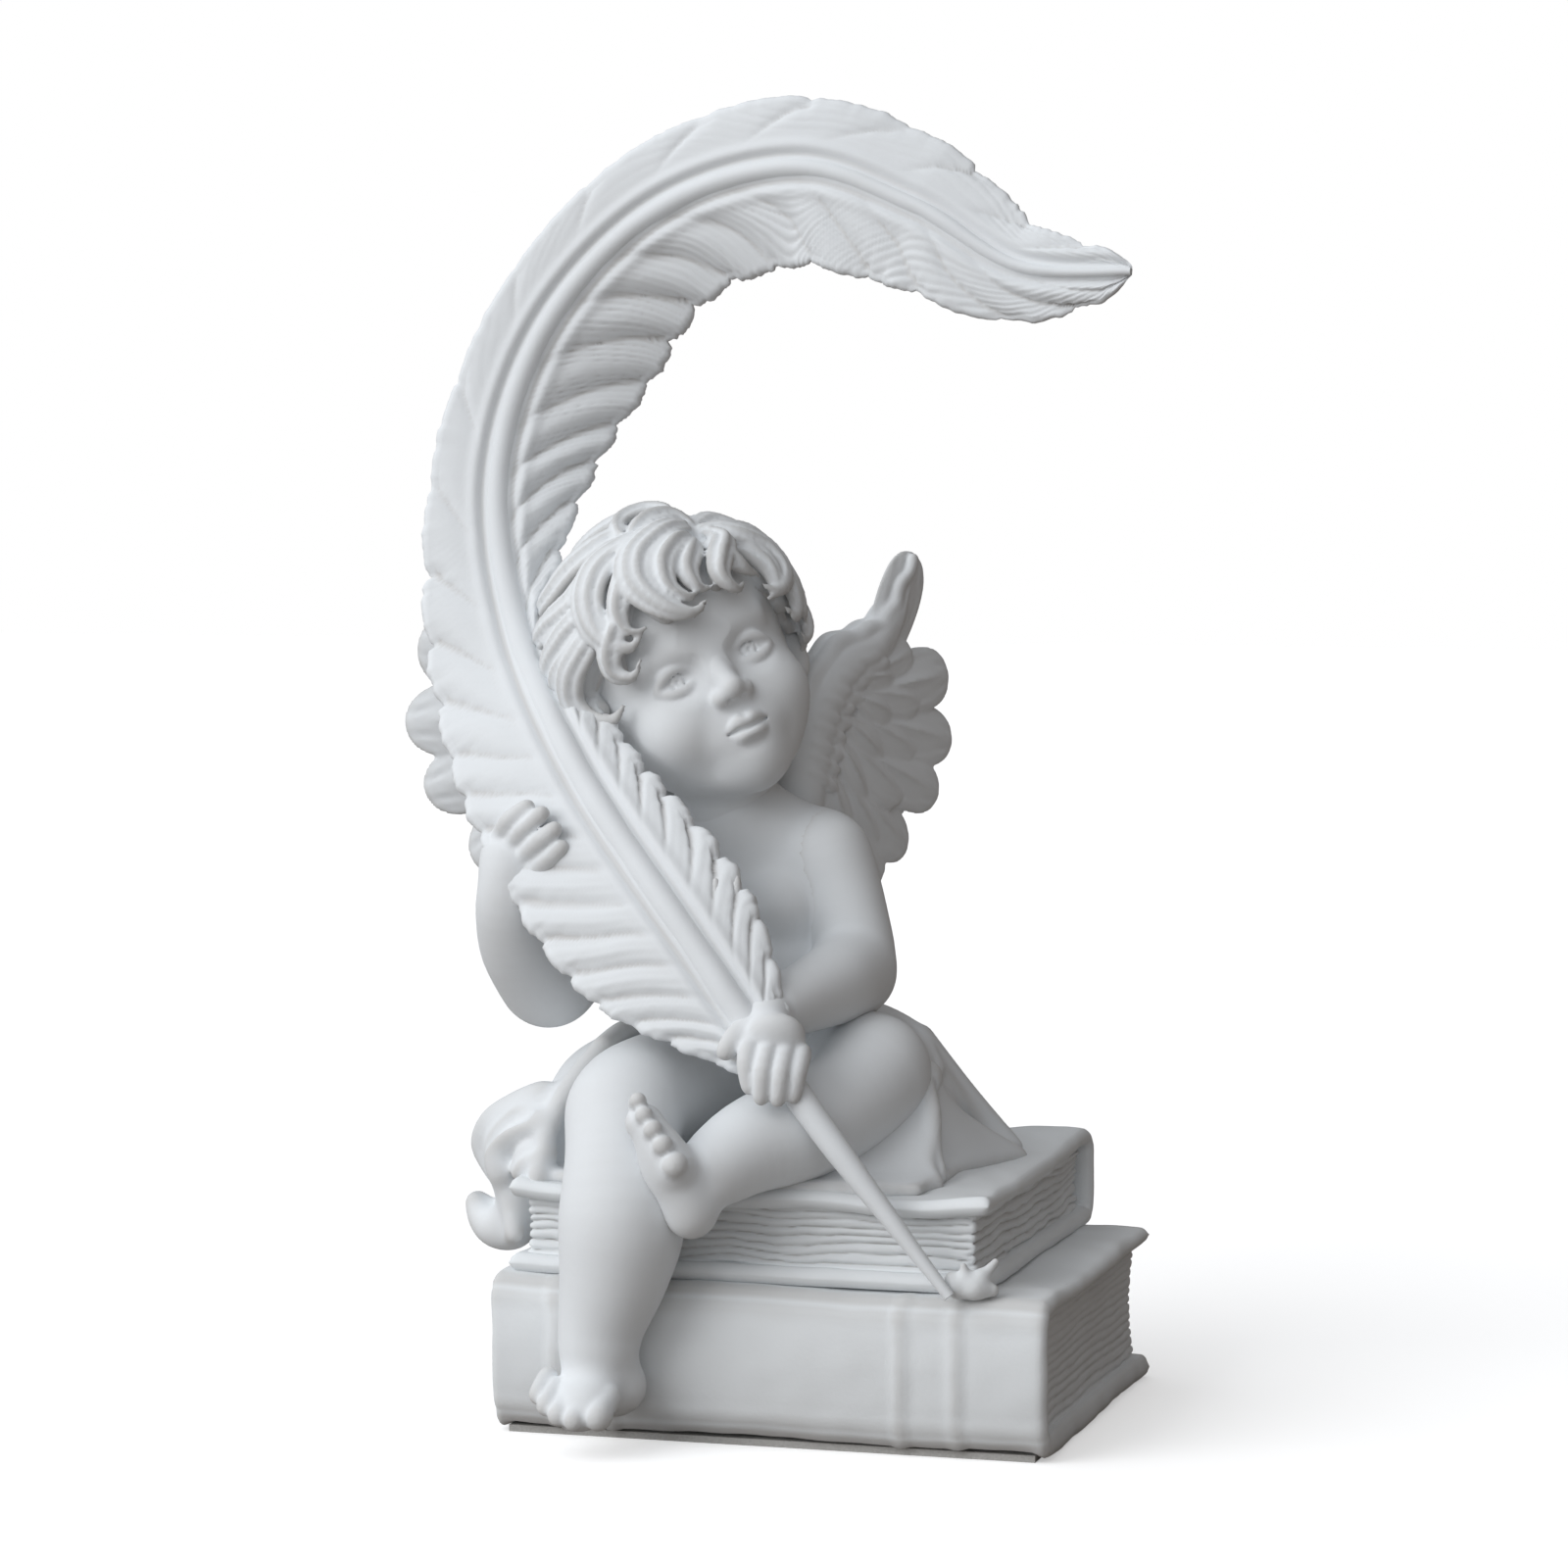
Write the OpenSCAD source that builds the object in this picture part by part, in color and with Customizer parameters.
// Resin cherub seated on two books, hugging a tall quill feather that arches over its head.
// Millimetres, +Z up, front towards -Y, origin at the centre of the felt underside.

/* [Lower book] */
// Length along the spine
lower_length = 82; // [78:1:90]
// Depth from spine to fore edge
lower_depth = 70; // [68:1:78]
// Height above the table, felt included
lower_height = 23; // [18:1:30]

/* [Upper book] */
// Length along the spine
upper_length = 71; // [68:1:74]
// Depth from fore edge to spine
upper_depth = 71; // [68:1:74]
// Height from board to board
upper_height = 13.5; // [11:0.5:18]

/* [Bindings] */
// Thickness of the boards
board = 2.6; // [2:0.2:3.6]
// How far the boards stand past the pages
overhang = 1.2; // [0.6:0.2:2]
// Height of the raised bands on the lower spine
band_height = 0.6; // [0.3:0.1:1]

/* [Felt] */
// Thickness of the felt sheet
felt_thickness = 1; // [0.5:0.5:2]
// How far the felt stops short of the lower book's edge
felt_inset = 2; // [1:0.5:4]

/* [Feather] */
// Thickness of the vane where it meets the shaft
vane_root = 3.6; // [3:0.2:4.6]
// Thickness of the vane at its edge
vane_edge = 1.8; // [1.2:0.2:2.4]
// Radius of the wire cast into the shaft
wire_r = 0.7; // [0.5:0.1:0.9]

/* [Wings] */
// Thickness of the wings
wing_thickness = 3.4; // [2.6:0.2:4.5]
// Radius of the tenon on each wing's root
tenon_r = 2.4; // [2:0.2:3]

/* [Hidden] */

// Every place on the figure is measured from the top of the upper book.
seat_z = lower_height + upper_height;
spine_r = 45;          // curve of a rounded spine, seen end on
resin = [0.86, 0.87, 0.88];
small = 0.01;          // lets a cutting shape pass just through a face

// ---------- Books ----------

// Lays a profile drawn in depth and height along the length of a book.
module along_book(length) {
  translate([-length / 2, 0, 0]) rotate([90, 0, 90]) linear_extrude(length) children();
}

// A book seen end on: a block whose spine side, at -Y, is an arc.
module book_outline(depth, height, grow = 0) {
  intersection() {
    translate([-depth / 2 - grow, 0]) square([depth + grow, height]);
    translate([spine_r - depth / 2 - grow, height / 2]) circle(spine_r, $fn = 128);
  }
}

// The pages seen end on, with the hollow fore edge at +Y.
module page_outline(depth, height) {
  difference() {
    translate([-depth / 2 + board + 1, board]) square([depth - board - 1 - overhang, height - 2 * board]);
    translate([depth / 2 + spine_r - overhang - 1.6, height / 2]) circle(spine_r, $fn = 128);
  }
}

module cover(length, depth, height) {
  along_book(length) difference() {
    book_outline(depth, height);
    translate([-depth / 2 + board + 1, board]) square([depth, height - 2 * board]);
  }
}

module pages(length, depth, height) {
  along_book(length - 2 * overhang) page_outline(depth, height);
}

lower_body_h = lower_height - felt_thickness;
band_places = [-31, -23, 20, 28];
band_width = 2;

module lower_place() translate([0, 0, felt_thickness]) children();

// The upper book is turned round, so its pages face the front.
upper_shift = [-3.8, 2.2];
module upper_place() translate([upper_shift.x, upper_shift.y, lower_height]) rotate([0, 0, 180]) children();

module base_felt() {
  color("seagreen") translate([-lower_length / 2 + felt_inset, -lower_depth / 2 + felt_inset, 0])
    cube([lower_length - 2 * felt_inset, lower_depth - 2 * felt_inset, felt_thickness]);
}

module lower_book_cover() {
  color(resin) lower_place() {
    cover(lower_length, lower_depth, lower_body_h);
    for (x = band_places)
      translate([x, 0, 0]) along_book(band_width) difference() {
        book_outline(lower_depth, lower_body_h, band_height);
        translate([-lower_depth / 2 + board, -small]) square([lower_depth, lower_body_h + 2 * small]);
      }
  }
}

module lower_book_pages() color(resin) lower_place() pages(lower_length, lower_depth, lower_body_h);
module upper_book_cover() color(resin) upper_place() cover(upper_length, upper_depth, upper_height);
module upper_book_pages() color(resin) upper_place() pages(upper_length, upper_depth, upper_height);

// ---------- Figure ----------

// A smooth limb through a chain of [x, y, z, radius] points.
module limb(chain, sides = 18) {
  for (i = [0 : len(chain) - 2])
    hull() for (p = [chain[i], chain[i + 1]])
      translate([p.x, p.y, p.z]) sphere(p[3], $fn = sides);
}

module on_seat() translate([0, 0, seat_z]) children();

hip_r = [-14, 1, 10];
knee_r = [-21.5, -33, 11];
ankle_r = [-22.5, -41, -22];
hip_l = [1, 3, 10];
knee_l = [10.5, -13, 14.5];
ankle_l = [-5.5, -38.5, 3.5];
shoulder_r = [-29, 4, 45.5];
elbow_r = [-43, -8, 26.5];
wrist_r = [-43, -18, 42];
shoulder_l = [-1, 2, 45.5];
elbow_l = [4.5, -5, 29.5];
wrist_l = [-2, -21, 23];
neck = [-15, 1, 53];
head_centre = [-22.3, 1, 74.8];
head_turn = [-28, -29, 42];   // tilted to its right, looking up and to its left

module torso_shape() {
  limb([[-6, 5, 12, 12], [-8, 1, 26, 11], [-13, 3, 38, 10]], 24);
  limb([[-25, 4, 43.5, 7], [-14, 3, 44, 8.5], [-4, 3, 43.5, 7]]);
}

module neck_peg(r) translate(neck) rotate([10, -25, 0]) translate([0, 0, -9]) cylinder(h = 16, r = r, $fn = 32);

module skull_shape() {
  translate(head_centre) rotate(head_turn) hull() {
    sphere(14.8, $fn = 28);
    translate([0, 3, 2]) sphere(15, $fn = 28);
    for (side = [-1, 1]) translate([side * 6.5, -6, -9]) sphere(7.5, $fn = 20);
    translate([0, -10, -16.5]) sphere(4, $fn = 20);
  }
}

module arm_r_shape() {
  limb([[shoulder_r.x, shoulder_r.y, shoulder_r.z, 6.5], [elbow_r.x, elbow_r.y, elbow_r.z, 6.3],
        [wrist_r.x, wrist_r.y, wrist_r.z, 4.6]]);
  hand([-39, -23, 47.5], [5, -1.4, 3.2], [1.4, 0.3, -2.6]);
}

module arm_l_shape() {
  limb([[shoulder_l.x, shoulder_l.y, shoulder_l.z, 6.8], [elbow_l.x, elbow_l.y, elbow_l.z, 6.2],
        [wrist_l.x, wrist_l.y, wrist_l.z, 4.6]]);
  hand([-1, -28, 18.5], [0.4, -3.6, -4.8], [2.7, 0.4, -0.4]);
}

// A palm with four fingers set side by side; reach is one finger long, and step is the gap between fingers.
module hand(palm, reach, step) {
  translate(palm) {
    hull() for (i = [-1.5, 1.5]) translate(i * step - reach * 0.5) sphere(3, $fn = 12);
    for (i = [-1.5 : 1.5]) hull() for (t = [0, 1]) translate(i * step + t * reach) sphere(1.7 - 0.3 * t, $fn = 8);
  }
}

// A foot from its heel to its toes, which are set side by side.
module foot(heel, ball, step) {
  hull() {
    translate(heel) sphere(4.3, $fn = 14);
    for (i = [-1.4, 1.4]) translate(ball + i * step) sphere(2.8, $fn = 12);
  }
  for (i = [-2 : 2]) translate(ball + i * step + (ball - heel) * 0.3) sphere(1.7 + 0.2 * i, $fn = 8);
}

module leg_r_shape() {
  limb([[hip_r.x, hip_r.y, hip_r.z, 9.5], [knee_r.x, knee_r.y, knee_r.z, 8]]);
  limb([[knee_r.x, knee_r.y, knee_r.z, 8], [-20.5, -38, -3, 8.6], [ankle_r.x, ankle_r.y, ankle_r.z, 5.2]]);
  foot([-21, -40, -26.5], [-24, -46.5, -30], [2.2, 0, 0]);
}

module leg_l_shape() {
  limb([[hip_l.x, hip_l.y, hip_l.z, 9.5], [knee_l.x, knee_l.y, knee_l.z, 7.8]]);
  limb([[knee_l.x, knee_l.y, knee_l.z, 7.8], [5, -25, 9.5, 7.2], [ankle_l.x, ankle_l.y, ankle_l.z, 5.4]]);
  foot([-9.5, -42, -1.5], [-13.5, -44.5, 7.5], [1.7, 0, -1.5]);
}

module torso() color(resin) on_seat() difference() {
  torso_shape();
  neck_peg(3.2);
  for (p = wing_places) wing_set(p) tenon();
}

module head() color(resin) on_seat() {
  difference() {
    union() {
      skull_shape();
      limb([[neck.x, neck.y, neck.z - 1, 6.5], [-20, 2, 66, 7]]);
    }
    torso_shape();
  }
  neck_peg(3.2);
}

curls = 46;            // lumps of hair over the skull
golden = 137.5;
face_way = [0, -0.93, -0.36];   // no curls grow round this way from the head's centre
module hair_shape() {
  translate(head_centre) rotate(head_turn) translate([0, 2.5, 2.5])
    for (i = [0 : curls - 1]) {
      rise = 1 - 1.25 * (i + 0.5) / curls;
      around = i * golden;
      flat = sqrt(1 - rise * rise);
      d = [flat * cos(around), flat * sin(around), rise];
      if (d * face_way < 0.58) translate(14.6 * d) sphere(5.2, $fn = 10);
    }
}
// The room that the head and its curls take, as the feather behind them meets it.
module head_room() translate(head_centre) rotate(head_turn) translate([0, 2.5, 2.5]) sphere(19.9, $fn = 24);
module hair() color(resin) on_seat() difference() { hair_shape(); skull_shape(); torso_shape(); }

module right_arm() color(resin) on_seat() difference() { arm_r_shape(); torso_shape(); }
module left_arm() color(resin) on_seat() difference() { arm_l_shape(); torso_shape(); feather_shape(); }
module right_leg() color(resin) on_seat() difference() { leg_r_shape(); torso_shape(); feather_shape(); under_seat(); }
module left_leg() color(resin) on_seat() difference() {
  leg_l_shape();
  torso_shape();
  leg_r_shape();
  feather_shape();
  under_seat();
}

// The room taken by the two books.
module under_seat() {
  translate([-lower_length / 2, -lower_depth / 2 - band_height, -seat_z])
    cube([lower_length, lower_depth + band_height, lower_height]);
  translate([upper_shift.x - upper_length / 2, upper_shift.y - upper_depth / 2, -upper_height])
    cube([upper_length, upper_depth, upper_height]);
}

// ---------- Drape ----------

fold_r = 1.7;          // half the thickness of a fold of the drape
drape_folds = [
  [[-36, -20, 1], [-37, 18, 1], [18, 20, 1], [22, -18, 1]],
  [[-37, -22, 1], [-43, -20, 3], [-44, -4, 3], [-37, 4, 1]],
  [[-43, -20, 3], [-44, -5, 3], [-42, -10, -6], [-41, -20, -5]],
  [[-42, -18, -5], [-41, -8, -5], [-47, -16, -9]],
  [[-33, -14, 2], [-31, -6, 14], [-24, 8, 12], [-34, 12, 2]],
  [[9, 6, 20], [16, -3, 15], [22, -2, 2], [8, 16, 2]],
  [[17, -12, 12], [16, -3, 15], [25, 2, 2], [21, -24, 1]],
  [[12, -24, 1], [21, -24, 1], [24, -4, 1], [10, -16, 8]]
];

module seat_drape() color(resin) on_seat() difference() {
  for (fold = drape_folds) hull() for (p = fold) translate(p) sphere(fold_r, $fn = 12);
  under_seat();
  torso_shape();
  leg_r_shape();
  leg_l_shape();
  arm_r_shape();
  feather_shape();
}

// ---------- Wings ----------

// Blades as [outward, upward] from the root to the tip, longest quill first.
blade_tips = [[33, 17], [34, 4], [29, -6], [22, -13], [14, -17]];
blade_r = 4.2;
// Each wing's side, root, sweep back, droop and size.
wing_places = [[-1, [-26, 10, 53], 6, 4, 1.14], [1, [-8.8, 10.8, 53.4], 60, 0, 1]];

module wing_set(place) {
  translate(place[1]) rotate([0, 0, place[0] * place[2]]) mirror([place[0] < 0 ? 1 : 0, 0, 0])
    rotate([0, place[3], 0]) scale(place[4]) children();
}

module tenon() rotate([90, 0, 0]) translate([3, -4, -2]) cylinder(h = 9, r = tenon_r, $fn = 32);

module wing() {
  rotate([90, 0, 0]) translate([0, 0, -wing_thickness / 2]) linear_extrude(wing_thickness) {
    hull() { translate([1, -3]) circle(6, $fn = 20); translate([15, 19]) circle(4.5, $fn = 20); }
    hull() {
      translate([15, 19]) circle(4.4, $fn = 22);
      translate([25, 33]) circle(1.8, $fn = 16);
      translate([23.4, 20.3]) circle(3, $fn = 18);
    }
    for (tip = blade_tips) hull() { translate([8, 2]) circle(5, $fn = 20); translate(tip) circle(blade_r, $fn = 20); }
  }
  tenon();
}

module right_wing() color(resin) on_seat() difference() {
  wing_set(wing_places[0]) wing();
  feather_shape();
  skull_shape();
  hair_shape();
  arm_r_shape();
  hollow_torso();
}

module left_wing() color(resin) on_seat() difference() {
  wing_set(wing_places[1]) wing();
  skull_shape();
  arm_l_shape();
  hollow_torso();
}

// The torso as the wings meet it, with its mortises.
module hollow_torso() difference() { torso_shape(); for (p = wing_places) wing_set(p) tenon(); }

// ---------- Feather ----------

// The shaft's line from the quill's point to the feather's tip.
shaft_line = [[27.5, -36.5, -13], [7.5, -35, 11], [-13, -30.5, 36.5], [-32.5, -20, 58.5], [-47, -6, 79],
              [-52.5, 2, 102], [-46, 6, 124], [-29, 6, 140.5], [-7, 4, 146.5], [12, 2, 140.5], [28, 0, 131.5],
              [45, -1, 130.5]];
outer_width = [0, 0, 17, 18, 14, 10, 8.7, 9.5, 10.5, 10, 6.5, 1];
inner_width = [0, 0, 7, 13, 12, 15, 18, 15, 14, 12, 7.5, 1];
shaft_r = [1.6, 2.6, 2.6, 2.4, 2.2, 2, 1.9, 1.8, 1.6, 1.4, 1.1, 0.6];
viewer = [0.28, -0.95, 0.07];   // the way the flat of the feather faces
spans = len(shaft_line) - 1;
cuts = 3;                       // sections between two points of the line

function unit(v) = v / norm(v);
function mix(list, i, t) =
  let (a = list[max(i - 1, 0)], b = list[i], c = list[min(i + 1, spans)], d = list[min(i + 2, spans)])
  0.5 * (2 * b + (c - a) * t + (2 * a - 5 * b + 4 * c - d) * t * t + (3 * b - a - 3 * c + d) * t * t * t);
function along(list, k) = mix(list, min(floor(k / cuts), spans - 1), k / cuts - min(floor(k / cuts), spans - 1));
function heading(k) = unit(along(shaft_line, min(k + 0.5, spans * cuts)) - along(shaft_line, max(k - 0.5, 0)));
function side(k) = unit(cross(viewer, heading(k)));      // towards the outer edge
function face(k) = cross(heading(k), side(k));           // towards the front

// One section of a round tube, or of a flat blade to one side of the shaft.
function ring(k, r, n) = [for (a = [0 : 360 / n : 359]) along(shaft_line, k) + r * (cos(a) * side(k) + sin(a) * face(k))];
slot = 0.35;                    // keeps the two vanes apart inside the shaft
function blade(k, w, hand) = let (o = along(shaft_line, k), s = hand * side(k), f = face(k), c = w * 0.15,
  h = min(vane_root / 2, along(shaft_r, k) - 0.15), e = min(vane_edge / 2, h * 0.8))
  [o + s * slot - f * h, o + s * slot + f * h, o + s * w * 0.5 + f * (h - c * 0.2), o + s * w + f * (e - c),
   o + s * w - f * (e + c), o + s * w * 0.5 - f * (h + c * 0.2)];

// Joins a row of sections with the same number of points into a closed solid.
module sweep(sections, turned = false) {
  n = len(sections[0]);
  m = len(sections);
  sides = [for (i = [0 : m - 2], j = [0 : n - 1])
    let (a = i * n + j, b = i * n + (j + 1) % n, c = b + n, d = a + n)
    each (turned ? [[a, b, c], [a, c, d]] : [[c, b, a], [d, c, a]])];
  ends = turned
    ? [[for (j = [n - 1 : -1 : 0]) j], [for (j = [0 : n - 1]) (m - 1) * n + j]]
    : [[for (j = [0 : n - 1]) j], [for (j = [n - 1 : -1 : 0]) (m - 1) * n + j]];
  polyhedron([for (s = sections) each s], concat(sides, ends));
}

last = spans * cuts;
first_vane = cuts + 1;          // the vane starts above the hand
module shaft_shape() sweep([for (k = [0 : last]) ring(k, along(shaft_r, k), 10)]);
module wire_shape() sweep([for (k = [0 : last - 2 * cuts]) ring(k, wire_r, 6)]);
module outer_shape() sweep([for (k = [first_vane : last]) blade(k, max(along(outer_width, k), 1.2), 1)]);
module inner_shape() sweep([for (k = [first_vane : last]) blade(k, max(along(inner_width, k), 1.2), -1)], true);
module feather_shape() { shaft_shape(); outer_shape(); inner_shape(); }

module feather_shaft() color(resin) on_seat() difference() { shaft_shape(); wire_shape(); under_seat(); }
// The notch in the outer vane where the right hand holds it.
module grip() hull() {
  translate(wrist_r) sphere(5, $fn = 12);
  translate([-44.3, -22, 48]) sphere(5, $fn = 12);
  translate([-35, -24.5, 50]) sphere(5, $fn = 12);
}
module outer_vane() color(resin) on_seat() difference() {
  outer_shape();
  shaft_shape();
  grip();
}
module inner_vane() color(resin) on_seat() difference() {
  inner_shape();
  shaft_shape();
  head_room();
  skull_shape();
}
module feather_wire() color("silver") on_seat() wire_shape();

base_felt();
lower_book_cover();
lower_book_pages();
upper_book_cover();
upper_book_pages();
seat_drape();
torso();
head();
hair();
right_arm();
left_arm();
right_leg();
left_leg();
right_wing();
left_wing();
feather_shaft();
outer_vane();
inner_vane();
feather_wire();
